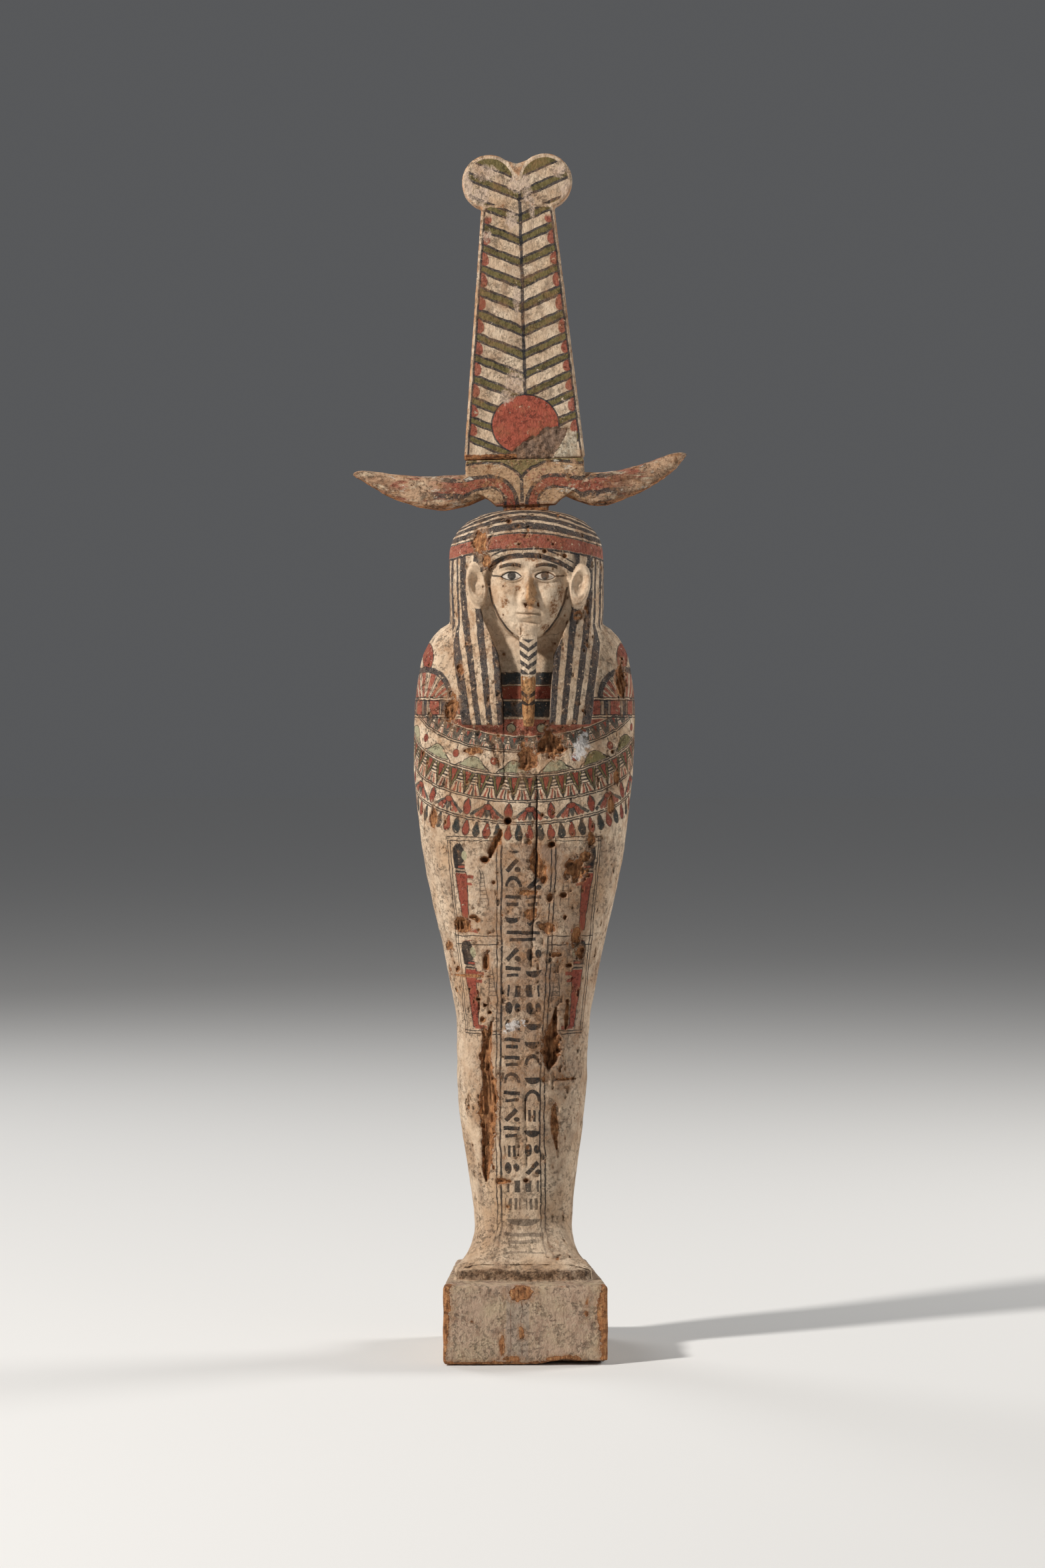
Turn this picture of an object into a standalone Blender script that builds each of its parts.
"""A painted wooden funerary figure, standing on its own block, with a crown of horns and plumes.

Three pieces of wood, in metres, +Z up, the figure facing -Y:
figure  the wrapped body, head and wig, beard, feet and the block under them, carved from one log
horns   a pair of ram's horns on a stepped foot, with a tenon let into the top of the head
plumes  a flat board cut to the outline of two tall feathers, standing on the horns' foot
The origin is in the middle of the block's underside, below the axis of the body.
"""

import math

import bmesh
import bpy
from mathutils import Matrix, Vector

# Driving dimensions of the figure, in metres.
BODY_HEIGHT = 0.406
BLOCK_HEIGHT = 0.041
FRONT_LEDGE = 0.016
BACK_LEDGE = 0.024
FRONT_SIDE_LEDGE = 0.005
BACK_SIDE_LEDGE = 0.0075
BLOCK_TWIST = math.radians(1.1)
BLOCK_BEVEL = 0.0012
CHIP_HEIGHT = 0.0036
CHIP_DEPTH = 0.009

# Driving dimensions of the crown, in metres.
CROWN_THICKNESS = 0.012
CROWN_SHIFT = 0.0015
CROWN_SETBACK = 0.002
CROWN_LEAN = math.radians(1.55)
CROWN_LIFT = 0.0022
TENON_WIDTH = 0.024
TENON_THICKNESS = 0.009
TENON_DEPTH = 0.018
TENON_CLEARANCE = 0.0003
HORN_FOOT_WIDTH = 0.063
HORN_FOOT_HEIGHT = 0.0245
LEFT_HORN_REACH = 0.0918
RIGHT_HORN_REACH = 0.0865
HORN_ROOT_THICKNESS = 0.0135
SEAM_GAP = 0.0003
PLUME_HEIGHT = 0.1621
PLUME_FOOT_WIDTH = 0.0644
PLUME_NECK_WIDTH = 0.0388
LOBE_RADIUS = 0.0146
PLUME_NOTCH_DEPTH = 0.0052
PLUME_BEVEL = 0.0008

# The carving was drawn on a body 406 units tall, from the block's top to the crown of the wig.
# Every free-form number below is in those units, and UNIT turns them into metres.
DRAWN_HEIGHT = 406
UNIT = BODY_HEIGHT / DRAWN_HEIGHT

RING_POINTS = 48
FRONT_POWER = 2.3
BACK_POWER = 2.6

# Height above the block, sideways shift, half width, depth to the front, depth to the back.
BODY_SECTIONS = [
    (-4, 0, 28, 28, 24),
    (9, 0, 28, 28, 24),
    (19, 0, 26.2, 27, 23),
    (31, 0, 26.3, 27, 23.5),
    (53, -0.3, 28.8, 29, 25),
    (76, -0.7, 32.2, 31.5, 26),
    (99, -0.7, 34.5, 33, 26),
    (121, -0.4, 34.9, 33.5, 25.5),
    (133, 0, 35.4, 33.7, 25.5),
    (144, 0, 37, 34, 25.5),
    (156, 0, 39.5, 34.5, 25.5),
    (178, 0, 43.8, 35.5, 26),
    (201, 0, 49.3, 37, 27),
    (224, 0, 53.8, 38.5, 28.5),
    (247, 0, 56.6, 39.5, 30),
    (269, 0.2, 58.6, 39.5, 31),
    (292, 0.7, 58.9, 38.5, 32),
    (304, 0.9, 58.6, 37, 32),
    (315, 1.0, 57.3, 34.5, 31.5),
    (326.5, 1.1, 55.2, 31, 30.5),
    (332.5, 1.2, 52.7, 29, 29.5),
    (338, 1.2, 49.4, 26.5, 28),
    (343.6, 1.2, 43.8, 23, 26),
    (349, 1.2, 33, 18, 22),
]
BODY_RINGS = 38

# Height above the block, half width at the toes and at the heels, depth to the toes and to the heels,
# and how square the corners are.
FOOT_SECTIONS = [
    (-2, 38, 28, 46, 24, 8),
    (5.3, 38, 28, 46, 24, 8),
    (6.6, 36.8, 28, 43.8, 24, 7),
    (8.5, 34, 27.6, 39.5, 24, 5.5),
    (11, 31, 27.2, 35, 24, 4.5),
    (15, 28.4, 26.6, 31, 23.5, 3.6),
    (20, 26.6, 26, 28.3, 23.2, 3),
    (28, 25, 25, 26, 23, 2.6),
]

# The head and its wig stand a little to one side of the body's axis, and the face a little more.
HEAD_SHIFT = 1.7
FACE_SHIFT = 2.7
WIG_POWER = 2.35
DOME_HEIGHT = 28
DOME_RINGS = 7
DOME_POWER = 2.55
# Height above the block, half width, depth to the front, depth to the back.
WIG_SECTIONS = [
    (378, 41.2, 41.5, 36),
    (368, 41.3, 41.2, 36.5),
    (358, 41.2, 40.7, 36.8),
    (349, 40.9, 40.3, 37),
    (342, 40.5, 39.8, 37),
    (335, 39.8, 36, 37),
    (325, 38.5, 27, 36.6),
    (312, 37.5, 18, 36.5),
]
# The opening in the wig for the face and neck, from its top: height above the block, half width, and
# how far in front of the body's axis its floor lies.
OPENING = [
    (380.3, 9, 34),
    (378.8, 14.5, 33.5),
    (375, 19, 32.5),
    (370, 21.6, 31.5),
    (362, 23, 31),
    (352, 24, 30.5),
    (345, 22.5, 29),
    (338, 19.5, 27),
    (328, 15, 25),
    (300, 13, 20),
]
OPENING_FRONT = 60
# Height above the block, inner edge, outer edge, and the front and half width of the sheath it is cut from.
LAPPET_SECTIONS = [
    (291.4, 12.2, 34, 45, 52),
    (310, 12.8, 36, 44.3, 50),
    (328, 14.6, 38.4, 42.6, 46.5),
    (340, 19.5, 39.4, 40.9, 42.4),
    (352, 25, 38.8, 38.2, 39.6),
]
LAPPET_COLUMNS = 8
LAPPET_BACK = 8

# Height above the block, half width, depth to the front.
NECK_SECTIONS = [
    (290, 17, 34),
    (312, 16, 32),
    (324, 15, 29.5),
    (336, 15.5, 28.5),
    (352, 18, 30),
]
NECK_BACK = 10

# The face: the share of its height above the chin, and its half width there.
CHIN_HEIGHT = 337
HAIRLINE_HEIGHT = 381
FACE_OUTLINE = [
    (0, 6.5),
    (0.04, 9.5),
    (0.12, 13),
    (0.25, 17),
    (0.42, 20.3),
    (0.6, 22),
    (0.8, 21.6),
    (0.92, 19.5),
    (1, 16),
]
FACE_ROWS = 37
FACE_COLUMNS = 30
FACE_ROOT = 20
FACE_POWER = 3

# The face is drawn to the usual rules: the eyes halfway up the head, the nose ending halfway from the
# brows to the chin, the mouth a third of the way below it, and five eye widths across.
BROW_RISE = 37.4
EYE_RISE = 32
NOSE_RISE = 18.7
MOUTH_RISE = 12.5
EYE_WIDTH = 8.8

EAR_PLACE = (27.2, -33.5, 364.5)
EAR_RADII = (5.6, 5, 11.4)
EAR_HOLLOW = (3.4, 3.4, 7)
EAR_TILT = math.radians(10)

# Height above the block, half width, middle of its depth, half depth.
BEARD_SECTIONS = [
    (342, 4.2, -40.5, 4),
    (336, 4.9, -42.8, 4.2),
    (320, 4.3, -44.2, 3.8),
    (304, 3.6, -43.6, 3.4),
    (294, 3.2, -42.6, 3.6),
    (290.5, 2.8, -41.3, 4.2),
]

# Share of the horn's reach, then height of its middle from the seam and half height as shares of the reach.
LEFT_HORN = [
    (0.24, -0.152, 0.073),
    (0.32, -0.166, 0.089),
    (0.41, -0.178, 0.099),
    (0.475, -0.183, 0.102),
    (0.53, -0.182, 0.100),
    (0.61, -0.173, 0.093),
    (0.69, -0.156, 0.084),
    (0.79, -0.129, 0.068),
    (0.89, -0.093, 0.046),
    (0.945, -0.071, 0.03),
    (0.985, -0.06, 0.0155),
    (1, -0.058, 0.004),
]
RIGHT_HORN = [
    (0.24, -0.158, 0.073),
    (0.375, -0.188, 0.1),
    (0.48, -0.193, 0.107),
    (0.573, -0.178, 0.098),
    (0.667, -0.151, 0.09),
    (0.76, -0.117, 0.082),
    (0.854, -0.0745, 0.068),
    (0.9, -0.048, 0.057),
    (0.94, -0.027, 0.042),
    (0.975, -0.006, 0.023),
    (1, 0.003, 0.006),
]
HORN_POINTS = 16
# The foot under the horns, from the seam down: share of the half width, share of the height.
HORN_FOOT_OUTLINE = [(1, 0), (1, -0.33), (0.95, -0.62), (0.62, -0.86), (0.5, -1)]
# The tenon starts this far inside the foot, so that the two are one piece.
TENON_ROOT = 0.006
LOBE_STEPS = 18


def clear_scene():
    for found in list(bpy.data.objects):
        bpy.data.objects.remove(found)


def material(name, colour, roughness):
    made = bpy.data.materials.new(name)
    made.use_nodes = True
    shader = made.node_tree.nodes["Principled BSDF"]
    shader.inputs["Base Color"].default_value = (*colour, 1)
    shader.inputs["Roughness"].default_value = roughness
    shader.inputs["Metallic"].default_value = 0
    return made


def add_object(name, mesh_data, surface=None):
    made = bpy.data.objects.new(name, mesh_data)
    bpy.context.scene.collection.objects.link(made)
    if surface:
        mesh_data.materials.append(surface)
    return made


def mesh_of(name, form):
    bmesh.ops.recalc_face_normals(form, faces=form.faces)
    made = bpy.data.meshes.new(name)
    form.to_mesh(made)
    form.free()
    return made


def drawn(*point):
    """A point of the drawing, measured from the middle of the block's top, in metres."""
    return Vector(point) * UNIT + Vector((0, 0, BLOCK_HEIGHT))


def loft(name, rings):
    """A closed body through rings of equally many points, with a flat face on each end."""
    form = bmesh.new()
    rows = [[form.verts.new(point) for point in ring] for ring in rings]
    count = len(rows[0])
    for lower, upper in zip(rows, rows[1:]):
        for i in range(count):
            j = (i + 1) % count
            form.faces.new((lower[i], lower[j], upper[j], upper[i]))
    form.faces.new(rows[0])
    form.faces.new(rows[-1])
    return mesh_of(name, form)


def spread(stations, count):
    """As many stations as asked, on a smooth curve through the drawn ones (Catmull-Rom)."""
    made = []
    last = len(stations) - 1
    for step in range(count):
        place = step / (count - 1) * last
        at = min(int(place), last - 1)
        t = place - at
        before, start, end, after = (stations[max(0, min(last, at + k))] for k in (-1, 0, 1, 2))
        made.append(
            tuple(
                0.5 * (2 * b + (c - a) * t + (2 * a - 5 * b + 4 * c - d) * t**2 + (3 * b - a - 3 * c + d) * t**3)
                for a, b, c, d in zip(before, start, end, after)
            )
        )
    return made


def rounded(value, power):
    return math.copysign(abs(value) ** (2 / power), value)


def oval_ring(height, shift, half_width, front, back, front_power=FRONT_POWER, back_power=BACK_POWER):
    """A level ring, rounder in front than behind. Its points run round from the figure's left."""
    ring = []
    for i in range(RING_POINTS):
        angle = 2 * math.pi * i / RING_POINTS
        across, ahead = math.cos(angle), math.sin(angle)
        power = front_power if ahead > 0 else back_power
        depth = front if ahead > 0 else back
        ring.append(drawn(shift + half_width * rounded(across, power), -depth * rounded(ahead, power), height))
    return ring


def body():
    return loft("body_form", [oval_ring(*section) for section in spread(BODY_SECTIONS, BODY_RINGS)])


def foot_ring(height, toe_width, heel_width, front, back, power):
    """A ring wide at the toes and narrow at the heels."""
    ring = []
    for i in range(RING_POINTS):
        angle = 2 * math.pi * i / RING_POINTS
        ahead = rounded(math.sin(angle), power)
        y = -ahead * (front if ahead > 0 else back)
        toeward = (back - y) / (back + front)
        half_width = heel_width + (toe_width - heel_width) * toeward
        ring.append(drawn(half_width * rounded(math.cos(angle), power), y, height))
    return ring


def feet():
    return loft("feet_form", [foot_ring(*section) for section in FOOT_SECTIONS])


def block_corners():
    """The block's corners in plan, in metres, ledges beyond the toes and heels, turned a little."""
    _, toe_width, heel_width, front, back, _ = FOOT_SECTIONS[0]
    front_y = -front * UNIT - FRONT_LEDGE
    back_y = back * UNIT + BACK_LEDGE
    front_x = toe_width * UNIT + FRONT_SIDE_LEDGE
    back_x = heel_width * UNIT + BACK_SIDE_LEDGE
    corners = [(-front_x, front_y), (front_x, front_y), (back_x, back_y), (-back_x, back_y)]
    turn = Matrix.Rotation(BLOCK_TWIST, 2)
    return [tuple(turn @ Vector(corner)) for corner in corners]


def block():
    form = bmesh.new()
    base = form.faces.new([form.verts.new((x, y, 0)) for x, y in block_corners()])
    grown = bmesh.ops.extrude_face_region(form, geom=[base])
    top = [v for v in grown["geom"] if isinstance(v, bmesh.types.BMVert)]
    bmesh.ops.translate(form, verts=top, vec=(0, 0, BLOCK_HEIGHT))
    bmesh.ops.bevel(form, geom=form.edges[:], offset=BLOCK_BEVEL, segments=1, affect="EDGES")
    return mesh_of("block_form", form)


def block_chip():
    """The wedge broken from under the block's front edge, on the figure's left."""
    right_x, front_y = block_corners()[1]
    beyond = CHIP_DEPTH
    profile = [
        (0.16 * right_x, 0.05),
        (0.3 * right_x, 0.55),
        (0.47 * right_x, 1.0),
        (0.7 * right_x, 0.7),
        (right_x + beyond, 0.8),
    ]
    form = bmesh.new()
    front = [form.verts.new((x, front_y - beyond, CHIP_HEIGHT * share)) for x, share in profile]
    front += [form.verts.new((x, front_y - beyond, -beyond)) for x, _ in reversed(profile)]
    back = [form.verts.new((x, front_y + CHIP_DEPTH, CHIP_HEIGHT * share * 0.5)) for x, share in profile]
    back += [form.verts.new((x, front_y + CHIP_DEPTH, -beyond)) for x, _ in reversed(profile)]
    count = len(front)
    for i in range(count):
        j = (i + 1) % count
        form.faces.new((front[i], front[j], back[j], back[i]))
    form.faces.new(front)
    form.faces.new(back)
    return mesh_of("block_chip", form)


def wig():
    """The dome over the skull and the bag of hair that falls behind the shoulders."""
    base, half_width, front, back = WIG_SECTIONS[0]
    rings = []
    for step in range(DOME_RINGS, 0, -1):
        rise = math.sin(step / DOME_RINGS * math.pi / 2 * 0.97)
        size = (1 - rise**DOME_POWER) ** (1 / DOME_POWER)
        rings.append((base + DOME_HEIGHT * rise, half_width * size, front * size, back * size))
    top = base + DOME_HEIGHT
    rings.insert(0, (top, 2, 2, 2))
    sections = rings + WIG_SECTIONS
    return loft(
        "wig_form",
        [oval_ring(h, HEAD_SHIFT, w, f, b, WIG_POWER, WIG_POWER) for h, w, f, b in sections],
    )


def opening():
    """The space in front of the wig that the face and neck stand in."""
    right = [(HEAD_SHIFT + half_width, height, floor) for height, half_width, floor in OPENING]
    left = [(HEAD_SHIFT - half_width, height, floor) for height, half_width, floor in reversed(OPENING)]
    front = [drawn(x, -OPENING_FRONT, height) for x, height, _ in right + left]
    back = [drawn(x, -floor, height) for x, height, floor in right + left]
    return loft("opening_form", [front, back])


def lappet(side):
    """One front fall of the wig: a strip of a wider sheath round the chest."""
    rings = []
    for height, inner, outer, front, sheath in LAPPET_SECTIONS:
        ring = []
        for column in range(LAPPET_COLUMNS):
            x = inner + (outer - inner) * column / (LAPPET_COLUMNS - 1)
            y = -front * (1 - (x / sheath) ** FRONT_POWER) ** (1 / FRONT_POWER)
            ring.append(drawn(HEAD_SHIFT + side * x, y, height))
        ring.append(drawn(HEAD_SHIFT + side * outer, -LAPPET_BACK, height))
        ring.append(drawn(HEAD_SHIFT + side * inner, -LAPPET_BACK, height))
        rings.append(ring)
    return loft("lappet_form", rings)


def neck():
    return loft(
        "neck_form",
        [oval_ring(h, HEAD_SHIFT, w, f, NECK_BACK) for h, w, f in NECK_SECTIONS],
    )


def bump(x, z, at_x, at_z, wide, tall):
    return math.exp(-(((x - at_x) / wide) ** 2) - ((z - at_z) / tall) ** 2)


def smooth_step(value):
    value = min(1, max(0, value))
    return value * value * (3 - 2 * value)


def nose_height(rise):
    """How far the nose stands out along its ridge."""
    bridge = smooth_step((BROW_RISE - rise) / (BROW_RISE - NOSE_RISE))
    base = smooth_step((rise - NOSE_RISE + 1) / 2.6)
    return 5.6 * bridge**0.8 * base


def face_relief(x, rise):
    """How far the features stand out, x units from the face's middle and rise units above the chin."""
    x = abs(x)
    relief = -1.9 * bump(x, rise, EYE_WIDTH, EYE_RISE, 6, 3.8)
    relief += 1.7 * bump(x, rise, EYE_WIDTH, EYE_RISE, 4.1, 2.2)
    relief += 0.7 * bump(x, rise, EYE_WIDTH, BROW_RISE, 7, 1.7)
    relief += nose_height(rise) * math.exp(-((x / (1.9 + 0.14 * nose_height(rise))) ** 2))
    relief += 1.9 * bump(x, rise, 3.2, NOSE_RISE + 1.6, 1.6, 1.7)
    relief += bump(x, rise, 0, MOUTH_RISE, 8, 5)
    relief += 1.2 * bump(x, rise, 1.6, MOUTH_RISE + 1.5, 3.6, 1.1)
    relief += 1.2 * bump(x, rise, 0, MOUTH_RISE - 1.5, 3.9, 1.2)
    relief -= 0.8 * bump(x, rise, 0, MOUTH_RISE - 4, 4.6, 1.1)
    relief += 1.4 * bump(x, rise, 0, 4.4, 4.6, 3.2)
    relief += 1.1 * bump(x, rise, 12.5, 22, 6, 6)
    return relief


def face_section(share):
    """Half width of the face and how far its middle stands forward, at a share of its height."""
    outline = spread(FACE_OUTLINE, 60)
    for (low, narrow), (high, wide) in zip(outline, outline[1:]):
        if share <= high:
            break
    half_width = narrow + (wide - narrow) * (share - low) / (high - low)
    forward = 43.2 - 2.6 * smooth_step((share - 0.5) / 0.5) - 1.6 * smooth_step((0.1 - share) / 0.1)
    return half_width, forward


def face():
    rings = []
    for row in range(FACE_ROWS):
        share = row / (FACE_ROWS - 1)
        rise = share * (HAIRLINE_HEIGHT - CHIN_HEIGHT)
        half_width, forward = face_section(share)
        ring = []
        for column in range(FACE_COLUMNS + 1):
            across = math.sin(math.pi * (column / FACE_COLUMNS - 0.5))
            x = across * half_width
            side_fall = (1 - abs(across) ** FACE_POWER) ** (1 / FACE_POWER)
            y = -FACE_ROOT - (forward - FACE_ROOT) * side_fall - face_relief(x, rise) * side_fall**0.5
            ring.append(drawn(FACE_SHIFT + x, y, CHIN_HEIGHT + rise))
        ring.append(drawn(FACE_SHIFT + half_width, -FACE_ROOT + 6, CHIN_HEIGHT + rise))
        ring.append(drawn(FACE_SHIFT - half_width, -FACE_ROOT + 6, CHIN_HEIGHT + rise))
        rings.append(ring)
    return loft("face_form", rings)


def ellipsoid(name, middle, radii, tilt):
    form = bmesh.new()
    bmesh.ops.create_uvsphere(form, u_segments=14, v_segments=10, radius=1)
    size = Matrix.Diagonal((*(r * UNIT for r in radii), 1))
    place = Matrix.Translation(drawn(*middle)) @ Matrix.Rotation(tilt, 4, "Y") @ size
    bmesh.ops.transform(form, matrix=place, verts=form.verts)
    return mesh_of(name, form)


def ear(side):
    x, y, z = EAR_PLACE
    return ellipsoid("ear_form", (FACE_SHIFT + side * x, y, z), EAR_RADII, side * EAR_TILT)


def ear_hollow(side):
    x, y, z = EAR_PLACE
    in_front = y - EAR_RADII[1]
    return ellipsoid("ear_hollow", (FACE_SHIFT + side * x, in_front, z + 1.2), EAR_HOLLOW, side * EAR_TILT)


def beard():
    rings = []
    corners = 12
    for height, half_width, middle, half_depth in BEARD_SECTIONS:
        ring = []
        for i in range(corners):
            angle = 2 * math.pi * (i + 0.5) / corners
            x = half_width * rounded(math.cos(angle), 3)
            y = middle + half_depth * rounded(math.sin(angle), 3)
            ring.append(drawn(FACE_SHIFT + x, y, height))
        rings.append(ring)
    return loft("beard_form", rings)


def crown_axis():
    """The empty on top of the head that the crown stands on and leans with."""
    axis = bpy.data.objects.new("crown_axis", None)
    bpy.context.scene.collection.objects.link(axis)
    axis.location = (CROWN_SHIFT, -CROWN_SETBACK, BLOCK_HEIGHT + BODY_HEIGHT)
    axis.rotation_euler = (0, -CROWN_LEAN, 0)
    return axis


def box_form(name, width, thickness, low, high):
    form = bmesh.new()
    bmesh.ops.create_cube(form, size=1)
    bmesh.ops.scale(form, vec=(width, thickness, high - low), verts=form.verts)
    bmesh.ops.translate(form, vec=(0, 0, (low + high) / 2), verts=form.verts)
    return mesh_of(name, form)


def combine(target, name, operation, data, parent=None):
    """Joins a form to the target, or cuts it away, and leaves the form as a hidden helper."""
    helper = add_object(name, data)
    helper.hide_render = True
    helper.display_type = "WIRE"
    helper.parent = parent
    step = target.modifiers.new(name, "BOOLEAN")
    step.operation = operation
    step.object = helper
    return helper


def make_figure(surface, axis):
    figure = add_object("figure", body(), surface)
    combine(figure, "with_feet", "UNION", feet())
    combine(figure, "with_block", "UNION", block())
    combine(combine(figure, "with_wig", "UNION", wig()), "without_opening", "DIFFERENCE", opening())
    combine(figure, "with_face", "UNION", face())
    for side, word in ((-1, "right"), (1, "left")):
        combine(figure, f"with_{word}_lappet", "UNION", lappet(side))
    combine(figure, "with_neck", "UNION", neck())
    for side, word in ((-1, "right"), (1, "left")):
        combine(figure, f"with_{word}_ear", "UNION", ear(side))
        combine(figure, f"without_{word}_ear_hollow", "DIFFERENCE", ear_hollow(side))
    combine(figure, "with_beard", "UNION", beard())
    combine(figure, "without_chip", "DIFFERENCE", block_chip())
    mortise = box_form(
        "mortise",
        TENON_WIDTH + 2 * TENON_CLEARANCE,
        TENON_THICKNESS + 2 * TENON_CLEARANCE,
        -TENON_DEPTH - TENON_CLEARANCE,
        CROWN_LIFT + TENON_DEPTH,
    )
    combine(figure, "without_mortise", "DIFFERENCE", mortise, axis)
    return figure


def plate(name, outline, thickness):
    """A flat board with the given front outline, as (x, z) points, centred on the crown's axis."""
    form = bmesh.new()
    front = form.faces.new([form.verts.new((x, -thickness / 2, z)) for x, z in outline])
    grown = bmesh.ops.extrude_face_region(form, geom=[front])
    back = [v for v in grown["geom"] if isinstance(v, bmesh.types.BMVert)]
    bmesh.ops.translate(form, verts=back, vec=(0, thickness, 0))
    return mesh_of(name, form)


def horn(side, reach, stations):
    """One horn, lofted from inside the foot out to its tip. Heights are from the seam above the foot."""
    seam = CROWN_LIFT + HORN_FOOT_HEIGHT
    thickest = max(half_height for _, _, half_height in stations)
    rings = []
    for share, middle, half_height in spread(stations, 2 * len(stations) - 3):
        half_depth = HORN_ROOT_THICKNESS / 2 * (half_height / thickest) ** 0.8
        ring = []
        for i in range(HORN_POINTS):
            angle = 2 * math.pi * i / HORN_POINTS
            y = half_depth * rounded(math.cos(angle), 2.3)
            z = seam + reach * (middle + half_height * rounded(math.sin(angle), 2.3))
            ring.append((side * share * reach, y, z))
        rings.append(ring)
    return loft("horn_form", rings)


def make_horns(surface, axis):
    seam = CROWN_LIFT + HORN_FOOT_HEIGHT
    right = [
        (HORN_FOOT_WIDTH / 2 * across, seam + HORN_FOOT_HEIGHT * down)
        for across, down in HORN_FOOT_OUTLINE
    ]
    left = [(-x, z) for x, z in reversed(right)]
    horns = add_object("horns", plate("horns", right + left, CROWN_THICKNESS), surface)
    horns.parent = axis
    combine(horns, "with_left_horn", "UNION", horn(-1, LEFT_HORN_REACH, LEFT_HORN), axis)
    combine(horns, "with_right_horn", "UNION", horn(1, RIGHT_HORN_REACH, RIGHT_HORN), axis)
    tenon = box_form("tenon", TENON_WIDTH, TENON_THICKNESS, -TENON_DEPTH, CROWN_LIFT + TENON_ROOT)
    combine(horns, "with_tenon", "UNION", tenon, axis)
    return horns


def plume_outline():
    """The board's outline from its foot, up the right shaft, round the right lobe, to the notch and back."""
    foot, shaft = PLUME_FOOT_WIDTH / 2, PLUME_NECK_WIDTH / 2
    lobe_x = LOBE_RADIUS * 1.01
    lobe_z = PLUME_HEIGHT - LOBE_RADIUS
    start = -math.acos((shaft - lobe_x) / LOBE_RADIUS)
    end = math.pi - math.acos(0.63)
    right = [(foot, 0)]
    for step in range(LOBE_STEPS + 1):
        angle = start + (end - start) * step / LOBE_STEPS
        right.append((lobe_x + LOBE_RADIUS * math.cos(angle), lobe_z + LOBE_RADIUS * math.sin(angle)))
    left = [(-x, z) for x, z in reversed(right)]
    return right + [(0, PLUME_HEIGHT - PLUME_NOTCH_DEPTH)] + left


def make_plumes(surface, axis):
    foot = CROWN_LIFT + HORN_FOOT_HEIGHT + SEAM_GAP
    plumes = add_object("plumes", plate("plumes", plume_outline(), CROWN_THICKNESS), surface)
    plumes.parent = axis
    plumes.location = (0, 0, foot)
    edge = plumes.modifiers.new("worn_edge", "BEVEL")
    edge.width = PLUME_BEVEL
    edge.segments = 1
    edge.limit_method = "ANGLE"
    edge.angle_limit = math.radians(50)
    return plumes


def main():
    clear_scene()
    axis = crown_axis()
    gesso = material("painted gesso", (0.72, 0.62, 0.46), 0.85)
    horn_gesso = material("worn horn gesso", (0.5, 0.36, 0.25), 0.85)
    plume_paint = material("plume paint", (0.62, 0.5, 0.36), 0.85)
    make_figure(gesso, axis)
    make_horns(horn_gesso, axis)
    make_plumes(plume_paint, axis)


main()
